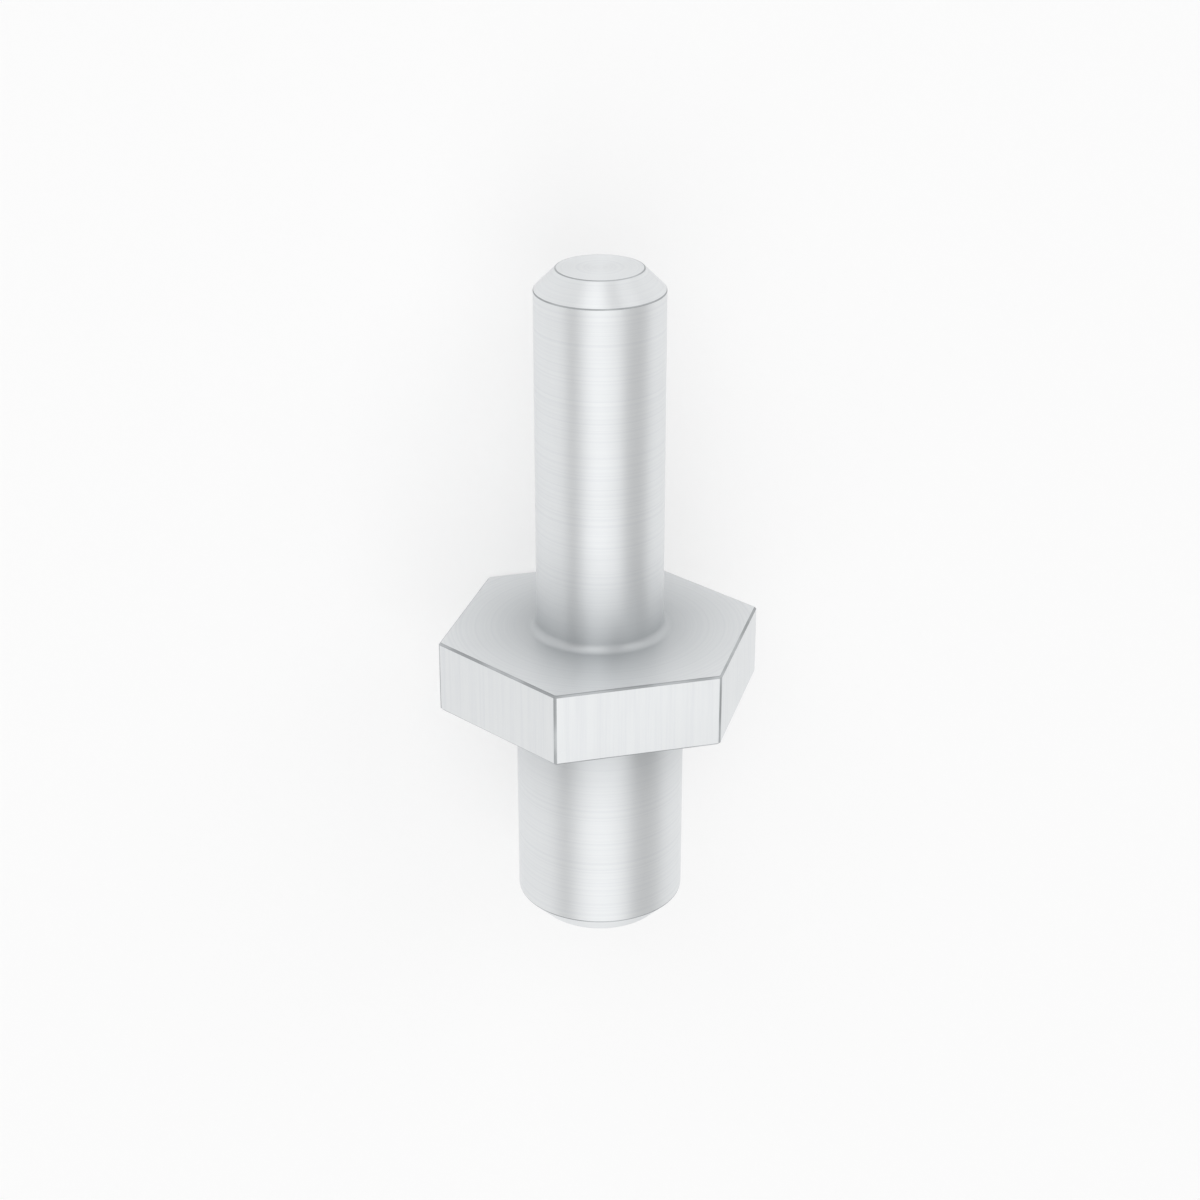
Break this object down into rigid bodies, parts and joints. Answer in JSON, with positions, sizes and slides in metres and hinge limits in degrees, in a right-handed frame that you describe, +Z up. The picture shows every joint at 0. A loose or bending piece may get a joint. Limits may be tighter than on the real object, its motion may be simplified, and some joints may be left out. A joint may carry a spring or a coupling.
{
  "type": "adjusting screw",
  "caption": "Steel adjusting screw with a chamfered 12 mm shank and a chamfered 16 mm shank on either side of a hexagon collar for a spanner, lying on a flat of the collar.",
  "frame": {"origin": "on the screw's axis, in the plane of the collar's face at the M16 side", "axes": "+Y along the screw's axis towards the M12 end; +Z up, square to the flat of the collar that the screw lies on; +X level, through two opposite corners of the hexagon"},
  "size_m": [0.031, 0.065, 0.027],
  "materials": {
    "steel": "satin"
  },
  "bodies": {
    "root": {"adjusting_screw": "steel"}
  },
  "joints": []
}
